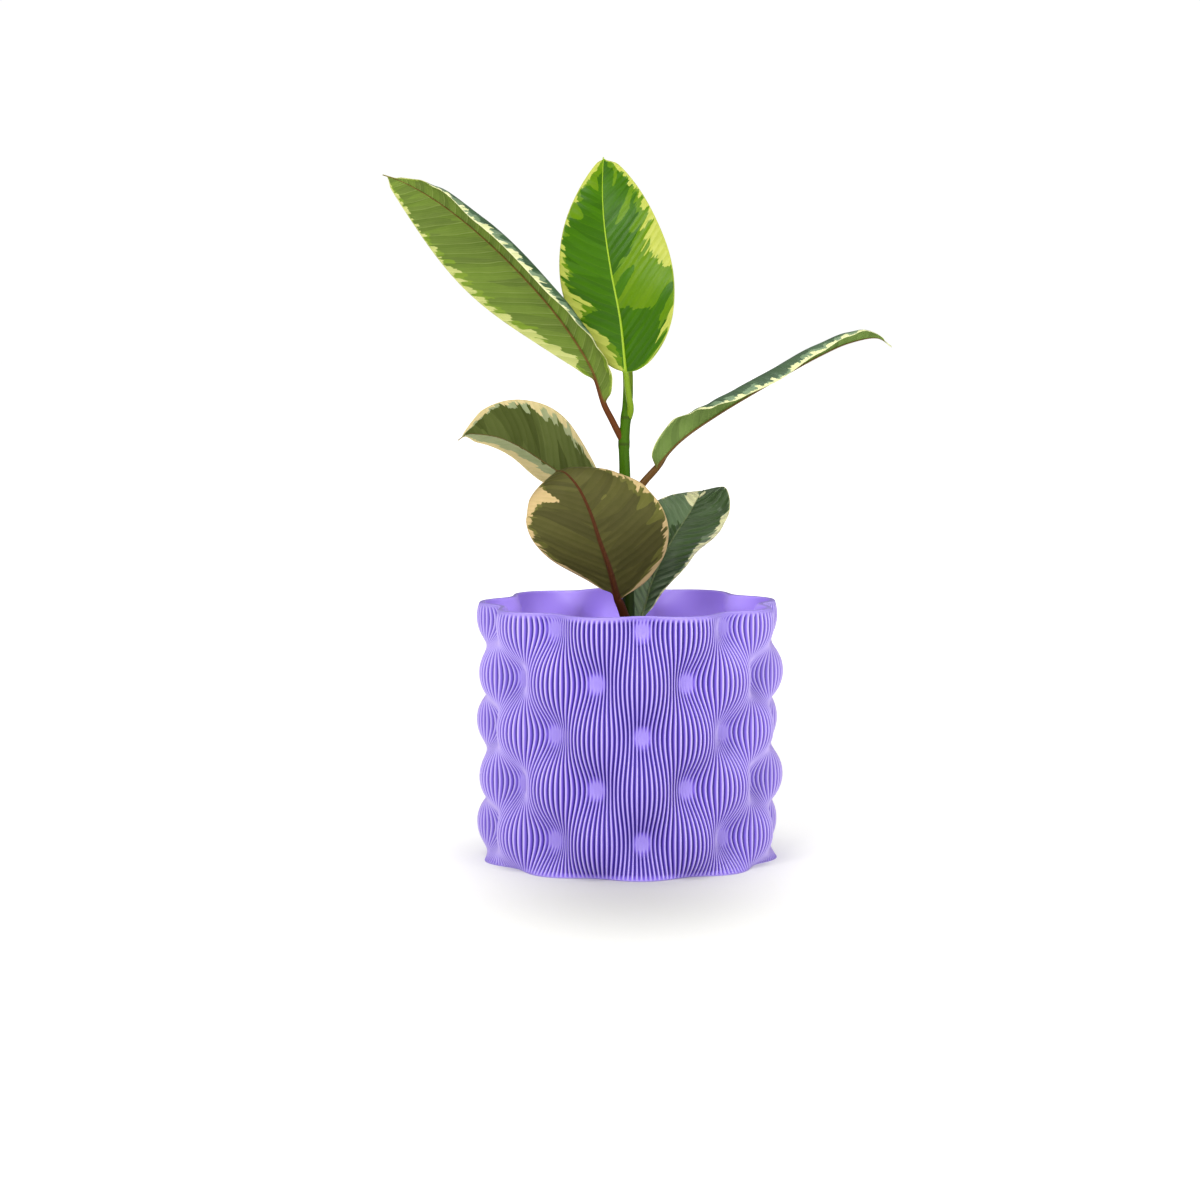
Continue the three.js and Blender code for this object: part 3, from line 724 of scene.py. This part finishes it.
# Each leaf: the line of petiole and midrib, where the blade starts on it, the petiole's radii, the side
# that its upper face looks to, and its two wings. A wing's bend is [share of the blade, degrees at the
# midrib, degrees at the margin], and its zones are [share, dark until, cream from], across the wing.
# A spot is (kind, share, across, length, width). A wave is (height, how many, where it starts).
leaves = {
    "leaf_top": {
        "slot": "bright_leaf",
        "line": [
            (-0.5, 0, 235.5), (0.5, -2.5, 240), (-0.5, -5, 247.5), (-2, -6, 259.5), (-5, -7, 287.5),
            (-10, -6, 313.5), (-13.5, -3, 337.5), (-14.5, 2, 355.5), (-14, 8, 373),
        ],
        "bladeStart": 3, "petiole": (1.9, 1.6),
        "face": [[0, (-0.1, -1, 0)], [1, (0, -1, 0.3)]],
        "plus": {
            "width": 32.8, "widest": 0.42, "fullness": 0.58, "bare": 0, "taper": 0.03,
            "bend": [[0, 25, 20], [0.5, 10, 6], [1, 8, 0]],
            "zones": [
                [0, 0.7, 0.95], [0.1, 0.93, 0.97], [0.2, 0.84, 0.9], [0.255, 0.6, 0.93],
                [0.3, 0.1, 0.97], [0.36, 0.06, 0.96], [0.42, 0.05, 0.94], [0.47, 0.05, 0.78],
                [0.5, 0.12, 0.72], [0.54, 0.36, 0.7], [0.63, 0.42, 0.74], [0.68, 0.55, 0.86],
                [0.715, 0.68, 0.94], [0.78, 0.82, 0.92], [0.86, 0.84, 0.89], [0.92, 0.7, 0.82],
                [0.96, 0.3, 0.6], [1, 0.1, 0.5],
            ],
            "spots": [
                ("dark", 0.33, 0.88, 0.05, 0.24), ("mid", 0.74, 0.45, 0.016, 0.2),
                ("dark", 0.425, 0.2, 0.022, 0.15), ("mid", 0.9, 0.45, 0.014, 0.16),
            ],
        },
        "minus": {
            "width": 27.5, "widest": 0.42, "fullness": 0.8, "bare": 0, "taper": 0.03,
            "bend": [[0, 12, -5], [0.5, 10, 0], [1, 8, 0]],
            "zones": [
                [0, 0.25, 0.3], [0.07, 0.2, 0.32], [0.12, 0.2, 0.5], [0.16, 0.3, 0.33],
                [0.2, 0.52, 0.55], [0.235, 0.7, 0.74], [0.27, 0.8, 0.84], [0.295, 0.42, 0.62],
                [0.33, 0.5, 0.66], [0.37, 0.72, 0.8], [0.42, 0.83, 0.86], [0.5, 0.92, 0.94],
                [0.58, 0.95, 0.97], [0.7, 0.98, 1], [0.76, 0.95, 0.97], [0.82, 0.75, 0.8],
                [0.86, 0.7, 0.85], [0.9, 0.3, 0.72], [0.94, 0.15, 0.45], [1, 0.1, 0.4],
            ],
            "spots": [("mid", 0.745, 0.74, 0.018, 0.17), ("mid", 0.87, 0.35, 0.02, 0.22)],
        },
        "wave": (1, 2.5, 0.4),
        "upperGloss": 0.3, "ribbing": 0.00015, "veinShow": 0.2,
        "jag": 0.16, "veinGap": 5.0, "slope": (0.95, 0.5),
        "upper": {"deep": (57, 108, 0), "mid": (88, 128, 0), "cream": (184, 190, 84),
                  "vein": (100, 140, 10), "midrib": (160, 190, 50)},
        "lower": {"deep": (80, 120, 40), "mid": (120, 150, 70), "cream": (222, 226, 150),
                  "vein": (150, 180, 80), "midrib": (150, 180, 60)},
        "petioleColour": (120, 150, 30),
    },
    "leaf_left": {
        "slot": "leaf",
        "line": [
            (-3, 0, 222), (-6, -1, 227.5), (-9.5, -2, 234.5), (-13.5, -4, 242.5), (-20, -7, 261.3),
            (-35.5, -12, 286), (-56.3, -14, 310.3), (-82.8, -14, 335.5), (-104.3, -12, 351.5),
            (-121, -9, 360.5), (-130, -6, 363.5),
        ],
        "bladeStart": 3, "petiole": (1.9, 1.6),
        "face": [[0, (0.1, 1, 0.1)], [1, (0.1, 1, 0.1)]],
        "plus": {
            "width": 26.5, "widest": 0.53, "fullness": 0.85, "bare": 0.06, "taper": 0.05,
            "bend": [[0, 0, 0], [0.5, 0, -8], [1, 0, 0]],
            "zones": [
                [0, 0.9, 0.97], [0.1, 0.6, 0.96], [0.145, 0.85, 0.95], [0.17, 0.35, 0.42],
                [0.22, 0.58, 0.62], [0.26, 0.7, 0.73], [0.3, 0.76, 0.8], [0.36, 0.8, 0.84],
                [0.42, 0.76, 0.87], [0.5, 0.87, 0.9], [0.6, 0.91, 0.93], [0.7, 0.91, 0.93],
                [0.8, 0.92, 0.94], [0.86, 0.9, 0.92], [0.92, 0.85, 0.88], [1, 0.8, 0.85],
            ],
        },
        "minus": {
            "width": 24.5, "widest": 0.5, "fullness": 0.6, "bare": 0, "taper": 0.2,
            "bend": [
                [0, 0, -10], [0.06, 0, -25], [0.11, 0, -62], [0.18, 0, -98], [0.28, 0, -125],
                [0.4, 0, -138], [0.68, 0, -138], [0.84, 0, -108], [0.9, 0, -70], [1, 0, -10],
            ],
            "zones": [[0, 0.8, 0.96], [0.5, 0.84, 0.93], [1, 0.8, 0.94]],
        },
        "wave": (0.5, 3, 0.1),
        "jag": 0.13, "veinGap": 7.5, "ribbing": 0.0009, "veinShow": 0.5, "sagShade": 0.6,
        "slope": (0.85, 0.6),
        "upper": {"deep": (70, 98, 72), "mid": (112, 136, 110), "cream": (234, 232, 184),
                  "vein": (112, 138, 100), "midrib": (150, 170, 90)},
        "lower": {"deep": (114, 136, 56), "mid": (118, 144, 42), "cream": (198, 200, 126),
                  "vein": (146, 162, 88), "midrib": (112, 86, 40)},
        "petioleColour": (98, 54, 24),
    },
    "leaf_right": {
        "slot": "leaf",
        "line": [
            (-1.5, 0, 188), (3.5, 1, 195.5), (8, 2, 201.5), (13.5, 3, 207.5), (27, 5, 222.5),
            (46, 7, 236), (80, 8, 256.2), (101.5, 7, 268.2), (117, 6, 275), (132, 4, 277.5),
            (139, 2, 273),
        ],
        "bladeStart": 3, "petiole": (2.2, 1.9),
        "face": [[0, (-0.6, 0, 0.8)], [1, (-0.3, 0, 0.95)]],
        "plus": {
            "width": 22.3, "widest": 0.48, "fullness": 0.56, "bare": 0, "taper": 0.12,
            "bend": [
                [0, 95, 70], [0.14, 88, 30], [0.23, 84, -15], [0.3, 82, -45], [0.4, 80, -66],
                [0.56, 80, -80], [0.73, 82, -65], [0.85, 88, -45], [0.92, 82, -15], [1, 70, 10],
            ],
            "zones": [
                [0, 0.9, 0.96], [0.3, 0.9, 0.96], [0.5, 0.87, 0.92], [0.7, 0.88, 0.94], [1, 0.8, 0.9],
            ],
        },
        "minus": {
            "width": 20, "widest": 0.5, "fullness": 0.8, "bare": 0, "taper": 0.15,
            "bend": [[0, 60, 40], [0.2, 45, 5], [0.6, 32, -15], [1, 40, 0]],
            "zones": [[0, 0.7, 0.9], [0.5, 0.7, 0.88], [1, 0.7, 0.86]],
        },
        "wave": (0.4, 3, 0.3),
        "jag": 0.1, "veinGap": 5.0, "slope": (0.6, 0.6),
        "upper": {"deep": (84, 108, 82), "mid": (118, 142, 112), "cream": (230, 230, 176),
                  "vein": (120, 142, 110), "midrib": (140, 140, 80)},
        "lower": {"deep": (116, 142, 70), "mid": (134, 158, 88), "cream": (216, 220, 156),
                  "vein": (150, 170, 96), "midrib": (110, 84, 42)},
        "petioleColour": (104, 72, 32),
    },
    "leaf_left_low": {
        "slot": "leaf",
        "line": [
            (-2, 1, 180), (-5.5, 3, 183.5), (-9.5, 5, 187), (-26.5, 9, 198), (-40, 11, 206.5),
            (-58.5, 13, 218.5), (-69.5, 13, 223.5), (-80, 12, 225.5), (-87.5, 10, 225.5),
            (-91.5, 8, 223),
        ],
        "bladeStart": 2, "petiole": (1.9, 1.6),
        "face": [[0, (0, 0.92, -0.38)], [1, (0, 0.92, -0.38)]],
        "plus": {
            "width": 21.5, "widest": 0.47, "fullness": 0.8, "bare": 0, "taper": 0.12,
            "bend": [[0, -20, -30], [0.4, -48, -56], [0.8, -50, -56], [1, -40, -40]],
            "zones": [
                [0, 0, 0.4], [0.58, 0, 0.44], [0.66, 0, 0.64], [0.72, 0, 0.68], [0.8, 0, 0.78],
                [1, 0, 0.84],
            ],
        },
        "minus": {
            "width": 28.2, "widest": 0.56, "fullness": 0.8, "bare": 0, "taper": 0.12,
            "bend": [[0, 0, 5], [1, 0, -5]],
            "zones": [
                [0, 0.86, 0.9], [0.22, 0.84, 0.87], [0.5, 0.87, 0.9], [0.65, 0.86, 0.88],
                [0.78, 0.85, 0.89], [0.84, 0.85, 0.88], [0.88, 0.6, 0.7], [0.93, 0.4, 0.55],
                [0.97, 0.2, 0.6], [1, 0.2, 0.5],
            ],
        },
        "wave": (0.6, 2.5, 0.2),
        "jag": 0.12, "veinGap": 4.2, "slope": (0.6, 0.75),
        "upper": {"deep": (62, 88, 60), "mid": (104, 128, 98), "cream": (230, 216, 170),
                  "vein": (116, 134, 96), "midrib": (140, 132, 84)},
        "lower": {"deep": (76, 86, 30), "mid": (150, 158, 120), "cream": (214, 194, 144),
                  "vein": (98, 106, 46), "midrib": (126, 104, 60)},
        "petioleColour": (96, 56, 26),
    },
    "leaf_front": {
        "slot": "old_leaf",
        "line": [
            (-1, -0.5, 125.5), (-2.5, -5, 129.5), (-4.5, -10, 135.5), (-6.5, -14, 140.5),
            (-10.5, -24, 156.5), (-16, -33, 173), (-21, -39, 188.5), (-27, -40, 201), (-33.5, -34, 208),
            (-39, -20, 208.5),
        ],
        "bladeStart": 3, "petiole": (2.7, 2.2),
        "face": [[0, (0, 1, 0.3)], [0.6, (0, 1, 0)], [1, (0.2, 1, -1)]],
        "plus": {
            "width": 34, "widest": 0.6, "fullness": 0.72, "bare": 0, "taper": 0.06,
            "bend": [[0, 10, 15], [0.5, 0, 8], [1, 0, 20]],
            "zones": [
                [0, 0.9, 0.95], [0.2, 0.92, 0.97], [0.5, 0.94, 0.98], [0.62, 0.92, 0.97],
                [0.71, 0.86, 0.92], [0.75, 0.7, 0.76], [0.8, 0.62, 0.66], [0.86, 0.6, 0.64],
                [0.92, 0.7, 0.74], [1, 0.85, 0.9],
            ],
            "spots": [("cream", 0.79, 0.62, 0.02, 0.28)],
        },
        "minus": {
            "width": 37, "widest": 0.38, "fullness": 0.66, "bare": 0, "taper": 0.06,
            "bend": [[0, 10, 15], [0.4, 0, 8], [0.55, 0, 35], [0.7, 0, 70], [0.85, 0, 80], [1, 0, 40]],
            "zones": [
                [0, 0.5, 0.58], [0.05, 0.56, 0.62], [0.1, 0.72, 0.78], [0.15, 0.86, 0.9],
                [0.25, 0.92, 0.96], [0.45, 0.9, 0.94], [0.6, 0.88, 0.92], [0.7, 0.8, 0.85],
                [0.85, 0.66, 0.72], [1, 0.7, 0.76],
            ],
            "spots": [
                ("mid", 0.5, 0.84, 0.012, 0.12), ("mid", 0.4, 0.87, 0.012, 0.14),
                ("mid", 0.62, 0.3, 0.009, 0.08),
            ],
        },
        "wave": (0.5, 2, 0.6),
        "jag": 0.1, "veinGap": 4.5, "ribbing": 0.0002, "veinShow": 0.14, "ribWide": 0.95,
        "slope": (0.95, 0.25),
        "upper": {"deep": (56, 78, 40), "mid": (94, 112, 74), "cream": (222, 204, 150),
                  "vein": (104, 114, 64), "midrib": (132, 104, 56)},
        "lower": {"deep": (89, 86, 44), "mid": (97, 97, 44), "cream": (206, 178, 128),
                  "vein": (106, 97, 56), "midrib": (86, 48, 24)},
        "petioleColour": (88, 46, 22),
    },
    "leaf_right_low": {
        "slot": "leaf",
        "line": [
            (0, 0.5, 115.5), (2.5, 2, 119.5), (5.5, 4, 126), (8.5, 8, 135), (12, 12, 146.5),
            (17.5, 17, 158), (24.5, 24, 170.5), (33, 33, 182.5), (38, 42, 190), (41, 54, 193),
        ],
        "bladeStart": 1, "petiole": (1.9, 1.6),
        "face": [[0, (0, -1, 0.3)], [0.7, (-0.1, -1, 0.7)], [1, (-0.3, -0.6, 1)]],
        "plus": {
            "width": 20.5, "widest": 0.77, "fullness": 0.42, "bare": 0, "taper": 0.06,
            "bend": [
                [0, 20, 10], [0.35, 8, -32], [0.65, -10, -80], [0.8, 2, -62], [0.92, 20, 15],
                [1, 20, 25],
            ],
            "zones": [
                [0, 0.85, 0.9], [0.12, 0.72, 0.78], [0.2, 0.82, 0.9], [0.3, 0.92, 0.95],
                [0.45, 0.9, 0.93], [0.55, 0.84, 0.87], [0.6, 0.76, 0.8], [0.7, 0.8, 0.84],
                [0.8, 0.84, 0.88], [0.88, 0.95, 0.98], [1, 0.98, 1],
            ],
            "spots": [("cream", 0.9, 0.02, 0.06, 0.26)],
        },
        "minus": {
            "width": 22, "widest": 0.6, "fullness": 0.6, "bare": 0, "taper": 0.06,
            "bend": [[0, 40, 30], [0.5, 15, 0], [1, 5, -10]],
            "zones": [[0, 0.12, 0.98], [1, 0.12, 0.98]],
            "spots": [("cream", 0.855, 0.1, 0.09, 0.52)],
        },
        "wave": (0.6, 3, 0.1),
        "upperGloss": 0.3, "upperShine": 0.3, "ribbing": 0.0009,
        "jag": 0.1, "veinGap": 4.6, "slope": (1.0, 0.8),
        "upper": {"deep": (63, 87, 44), "mid": (100, 123, 88), "cream": (234, 230, 180),
                  "vein": (102, 124, 80), "midrib": (110, 124, 80)},
        "lower": {"deep": (90, 110, 60), "mid": (120, 140, 90), "cream": (220, 220, 150),
                  "vein": (120, 130, 80), "midrib": (130, 90, 50)},
        "petioleColour": (100, 80, 36),
    },
}

# the variegation's toothed edges, side veins and patches, in millimetres along the side veins
leafPattern = {
    "veinCurve": 0.14, "wingShift": 37.0, "leafShift": 61.0,  # no two wings or leaves are alike
    "creamTeeth": {"gap": 3.0, "seed": 0.0, "frequency": 0.14, "stretch": 0.2, "swing": 1.6, "jag": 1.0},
    "middleTeeth": {"gap": 4.6, "seed": 40.0, "frequency": 0.2, "stretch": 0.3, "swing": 2.2, "jag": 1.25},
    "toothHeight": 1.4, "toothLean": 0.035, "featherHeight": 1.5, "zoneEdge": (-0.012, 0.014),
    "patchGap": 5.5, "spotLift": 1.3,
    "veinWidth": 0.07, "veinFade": 0.6, "wander": 3.0,
    "fineVeins": 5.0, "fineWidth": 0.3, "fineShow": 0.22,
    "midribEdge": (0.7, 1.25), "marginEdge": (0.75, 0.25),
}


def makeVariegation():
    # Blade is (mm from the midrib, mm along it, half-width there). A zone shows where its field, jagged
    # along the side veins, is above nothing.
    pattern = leafPattern
    tree, nodes, given, out = newGroup(
        "variegation", ["Blade"],
        ["Middle Field", "Cream Field", "Rib", "Jag", "Slope Plus", "Slope Minus", "Vein Gap", "Shift"],
        ["Cream", "Middle", "Patch", "Veins", "Shade", "Midrib", "Edge", "Relief"])
    plus, minus, times = nodes.plus, nodes.minus, nodes.times
    x, y, half = nodes.split(given["Blade"])
    side = nodes.math("ABSOLUTE", x)
    across = nodes.math("DIVIDE", side, nodes.math("MAXIMUM", half, 0.5))
    # lines of equal s run with the side veins, outwards and towards the tip
    curve = times(nodes.math("POWER", across, 2.0), times(half, pattern["veinCurve"]))
    isPlus = nodes.math("GREATER_THAN", x, 0.0)
    slope = plus(given["Slope Minus"], times(isPlus, minus(given["Slope Plus"], given["Slope Minus"])))
    s = minus(minus(y, times(side, slope)), curve)
    s = plus(plus(s, times(nodes.math("SIGN", x), pattern["wingShift"])), given["Shift"])

    def blocks(gap, seed):  # a random value for each stretch between side veins
        spot = nodes.join(nodes.math("DIVIDE", s, gap), plus(times(side, pattern["toothLean"]), seed))
        return nodes.split(nodes.cells(spot, 1.0, voronoi_dimensions="2D")["Color"])[0]

    def streaks(frequency, stretch, seed, detail=2.0):
        spot = nodes.join(times(s, frequency), times(side, frequency * stretch), seed)
        return minus(nodes.noise(spot, 1.0, detail, 0.55), 0.5)

    def zone(field, gap, seed, frequency, stretch, swing, jag):  # blocky teeth with a fine feathered edge
        teeth = times(minus(blocks(gap, seed), 0.5), pattern["toothHeight"])
        lobes = times(streaks(frequency, stretch, seed + 5.0, 1.0), swing)
        feather = times(streaks(0.5, 0.12, 3.0), pattern["featherHeight"])
        jagged = times(times(plus(plus(teeth, lobes), feather), given["Jag"]), jag)
        return nodes.step(plus(given[field], jagged), *pattern["zoneEdge"])

    def lines(phase, width):  # 1 on lines one phase apart, 0 from this width on
        off = nodes.math("ABSOLUTE", minus(nodes.math("FRACT", phase), 0.5))
        return minus(1.0, nodes.step(off, 0.0, width))

    # side veins: a thin line every few millimetres, with finer ones between
    wander = times(streaks(0.12, 0.6, 8.0, 1.0), pattern["wander"])
    phase = nodes.math("DIVIDE", plus(s, wander), given["Vein Gap"])
    fine = lines(times(phase, pattern["fineVeins"]), pattern["fineWidth"])
    veins = nodes.math("MAXIMUM", lines(phase, pattern["veinWidth"]), times(fine, pattern["fineShow"]))
    veins = times(veins, minus(1.0, times(across, pattern["veinFade"])))
    ribInner, ribOuter = [times(given["Rib"], reach) for reach in pattern["midribEdge"]]
    swell = times(nodes.math("COSINE", times(phase, turn)), -0.5)
    masks = {
        "Cream": zone("Cream Field", **pattern["creamTeeth"]),
        "Middle": zone("Middle Field", **pattern["middleTeeth"]),
        "Patch": blocks(pattern["patchGap"], 80.0),
        "Veins": veins,
        # painted shade: each strip darkens towards the next vein, as if it sagged between them
        "Shade": nodes.math("FRACT", plus(phase, 0.5)),
        "Midrib": minus(1.0, nodes.step(side, ribInner, ribOuter)),
        "Edge": nodes.step(minus(half, side), *pattern["marginEdge"]),
        "Relief": plus(swell, times(veins, 0.3)),
    }
    for name, value in masks.items():
        nodes.put(out[name], value)
    return tree


variegation = makeVariegation()


def mixColours(a, b, t):
    return [mix(x, y, t) for x, y in zip(a, b)]


def leafFinish(name, look, shift, upper):
    side = "upper" if upper else "lower"
    colours, gloss = look[side], look[side + "Gloss"]
    material, nodes, shader = newMaterial(name, gloss, look[side + "Shine"])
    middleField, creamField, petiole = nodes.split(nodes.vector("zones"))
    masks = useGroup(nodes, variegation, {
        "Blade": nodes.vector("blade"), "Middle Field": middleField, "Cream Field": creamField,
        "Rib": nodes.value("rib"), "Jag": look["jag"], "Vein Gap": look["veinGap"], "Shift": shift,
        "Slope Plus": look["slope"][0], "Slope Minus": look["slope"][1],
    })
    mottle = nodes.noise(nodes.place(), 170, 4)
    darker = mixColours(colours["deep"], (0, 0, 0), 0.14)
    lighter = mixColours(colours["deep"], colours["mid"], 0.22)
    paler = mixColours(colours["mid"], colours["cream"], 0.14)
    deep = nodes.blend(masks["Patch"], colourOf(darker), colourOf(lighter))
    middle = nodes.blend(masks["Patch"], colourOf(colours["mid"]), colourOf(paler))
    colour = nodes.blend(masks["Middle"], deep, middle)
    colour = nodes.blend(masks["Cream"], colour, colourOf(colours["cream"]))
    cloud = nodes.times(nodes.step(mottle, 0.35, 0.75), 0.3)
    colour = nodes.tinted(cloud, colour, (0.72, 0.8, 0.6, 1))
    # painted shade between the side veins
    colour = nodes.tinted(nodes.times(masks["Shade"], look["sagShade"]), colour, (0.66, 0.74, 0.5, 1))
    for mask, strength, tone in (
        ("Veins", look["veinShow"], "vein"), ("Edge", 0.6, "cream"), ("Midrib", 1.0, "midrib"),
    ):
        colour = nodes.blend(nodes.times(masks[mask], strength), colour, colourOf(colours[tone]))
    colour = nodes.blend(petiole, colour, colourOf(look["petioleColour"]))
    nodes.put(shader.inputs["Base Color"], colour)
    nodes.put(shader.inputs["Roughness"], nodes.plus(nodes.times(mottle, 0.12), gloss - 0.06))
    height = nodes.plus(masks["Relief"], nodes.times(mottle, 0.3))
    height = nodes.times(height, nodes.minus(1.0, petiole))
    addBump(nodes, shader, height, look["ribbing"], look[side + "Bump"])
    return material


def zoneFields(wing, lean, share, across):
    # how far inside the mid-green and cream zones a point is; spots lean along the side veins
    middle = across - between(wing["zones"], share, 1)
    cream = across - between(wing["zones"], share, 2)
    for kind, spotShare, spotAcross, length, width in wing.get("spots", ()):
        along = share - spotShare - lean * (across - spotAcross)
        far = (along / length) ** 2 + ((across - spotAcross) / width) ** 2
        here = leafPattern["spotLift"] * math.exp(-far)
        cream += here if kind == "cream" else -here
        middle += here if kind != "dark" else -here
    return middle, cream


def wingWidth(wing, share):
    own = (share - wing["bare"]) / (1 - wing["bare"])
    if own <= 0 or own >= 1:
        return 0
    power = math.log(0.5) / math.log(wing["widest"])
    outline = math.sin(math.pi * own ** power) ** wing["fullness"]
    return wing["width"] * outline * smooth(1 - own, 0, wing["taper"])


def wingPoints(wing, sign, share, middle, up, across, radius, wave, steps):
    # from the midrib out to the margin: round like the petiole where the wing is narrow, and a thin
    # blade where it opens
    form = leafForm
    rim = math.radians(form["rimAngle"])
    width = max(wingWidth(wing, share), radius * math.sin(rim))
    opened = smooth(width, radius, form["flatFrom"] * radius)
    ribWidth = min(radius, width / 5)
    ribEdge = ribWidth * form["ribReach"]
    start, end = [math.radians(between(wing["bend"], share, column)) * opened for column in (1, 2)]
    point = middle.copy()
    reached = 0
    side = {"top": [], "bottom": [], "out": [], "width": width, "opened": opened}
    for step in range(steps + 1):
        beyond = step - form["ribSteps"]
        if beyond <= 0:
            flat = ribEdge * step / form["ribSteps"]
        else:
            left = 1 - beyond / (steps - form["ribSteps"])
            flat = mix(ribEdge, width, 1 - left ** form["crowding"])
        turned = rim * step / steps
        distance = mix(radius * math.sin(turned), flat, opened)
        halfway = mix(start, end, (distance + reached) / 2 / width)
        onward = across * (sign * math.cos(halfway)) + up * math.sin(halfway)
        point = point + onward * (distance - reached)
        reached = distance
        angle = mix(start, end, distance / width)
        normal = up * math.cos(angle) - across * (sign * math.sin(angle))
        lifted = point + normal * (wave * opened * (distance / width) ** 2)
        roundHalf = radius * math.cos(turned)
        stand = form["ribStand"] * radius * (1 - smooth(distance, 0, ribWidth * form["standReach"]))
        channel = form["channel"] * (1 - smooth(distance, 0, ribWidth * form["channelReach"])) * opened
        thinned = form["edgeThin"] * smooth(distance, width - form["edgeReach"], width) * opened
        thick = form["thick"] / 2 * (1 - thinned)
        side["top"].append(lifted + normal * (mix(roundHalf, thick, opened) - channel))
        side["bottom"].append(lifted - normal * mix(roundHalf, thick + stand, opened))
        side["out"].append(distance * sign)
    return side


def leafFaces(rows, count):  # each row is its upper corners, then its lower ones; kind 1 is the underside
    faces, kinds = [], []
    end = count - 1
    for row in range(rows - 1):
        a, b = row * 2 * count, (row + 1) * 2 * count
        for i in range(end):
            faces.append((a + i, a + i + 1, b + i + 1, b + i))
            faces.append((a + count + i + 1, a + count + i, b + count + i, b + count + i + 1))
            kinds += [0, 1]
        faces.append((a, b, b + count, a + count))
        faces.append((b + end, a + end, a + count + end, b + count + end))
        kinds += [1, 1]
    last = (rows - 1) * 2 * count
    for i in range(end):
        faces.append((i + 1, i, count + i, count + i + 1))
        faces.append((last + i, last + i + 1, last + count + i + 1, last + count + i))
        kinds += [1, 1]
    return faces, kinds


def makeLeaf(name, look, number):
    form = leafForm
    sideSteps, bladeRows = ((form["sideSteps"], form["bladeRows"]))
    count = 2 * sideSteps + 1
    points = [Vector(p) for p in look["line"]]
    bladeFrom = look["bladeStart"] / (len(points) - 1)
    places = [bladeFrom * i / form["petioleRows"] for i in range(form["petioleRows"])]
    places += [mix(bladeFrom, 1, i / bladeRows) for i in range(bladeRows + 1)]
    chord = (linePoint(points, 1) - linePoint(points, bladeFrom)).normalized()
    marks = 100
    lengths = lineLengths(points, bladeFrom, marks)
    waveHeight, waveCount, waveStart = look["wave"]
    corners, blades, zones, ribs = [], [], [], []
    for place in places:
        at = max(0, (place - bladeFrom) / (1 - bladeFrom)) * marks
        along = float(np.interp(at, np.arange(marks + 1), lengths))
        share = along / lengths[-1]
        ahead = lineTangent(points, place)
        ahead = ahead.lerp(chord, form["squareness"] * smooth(share, 0, form["squareFrom"])).normalized()
        facing = Vector([between([[s, way[axis]] for s, way in look["face"]], share) for axis in range(3)])
        up = (facing - ahead * facing.dot(ahead)).normalized()
        across = ahead.cross(up)
        middle = linePoint(points, place)
        if place < bladeFrom:
            radius = mix(*look["petiole"], place / bladeFrom)
        else:
            radius = mix(look["petiole"][1], form["tipRadius"], share ** form["ribTaper"])
        sides = []
        for wing, sign, lag, slope in (
            (look["plus"], 1, 0, look["slope"][0]),
            (look["minus"], -1, form["waveLag"], look["slope"][1]),
        ):
            wave = waveHeight * math.sin(turn * (waveCount * share + waveStart + lag))
            side = wingPoints(wing, sign, share, middle, up, across, radius, wave, sideSteps)
            width, lean = side["width"], slope * wing["width"] / lengths[-1]
            petiole = 1 - side["opened"] if share < form["petioleReach"] else 0
            side["blade"] = [(out, along, width) for out in side["out"]]
            side["zones"] = [
                (*zoneFields(wing, lean, share, abs(out) / width), petiole) for out in side["out"]
            ]
            sides.append(side)

        def fullRow(key):  # from the margin of one wing over the midrib to that of the other
            plus, minus = sides
            return minus[key][:0:-1] + plus[key]

        corners += fullRow("top") + fullRow("bottom")
        blades += 2 * fullRow("blade")
        zones += 2 * fullRow("zones")
        ribs += 2 * count * [look["ribWide"] * radius]
    faces, kinds = leafFaces(len(places), count)
    shift = number * leafPattern["leafShift"]
    upper = leafFinish(name + "Upper", look, shift, True)
    lower = leafFinish(name + "Lower", look, shift, False)
    first, *rest = name.split("_")
    pieceName = first + "".join(word.capitalize() for word in rest)
    piece = meshPiece(pieceName, corners, faces, look["slot"], name, [upper, lower], kinds)
    setPoints(piece, "blade", blades)
    setPoints(piece, "zones", zones)
    setPoints(piece, "rib", ribs)
    print("leaf made", name, len(faces))


for number, (name, spec) in enumerate(leaves.items()):
    makeLeaf(name, {**leafLook, **spec}, number)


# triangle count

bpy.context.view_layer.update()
triangles = sum(len(p.vertices) - 2 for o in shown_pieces() if o.type == "MESH" for p in o.data.polygons)
print("triangles shown", triangles)
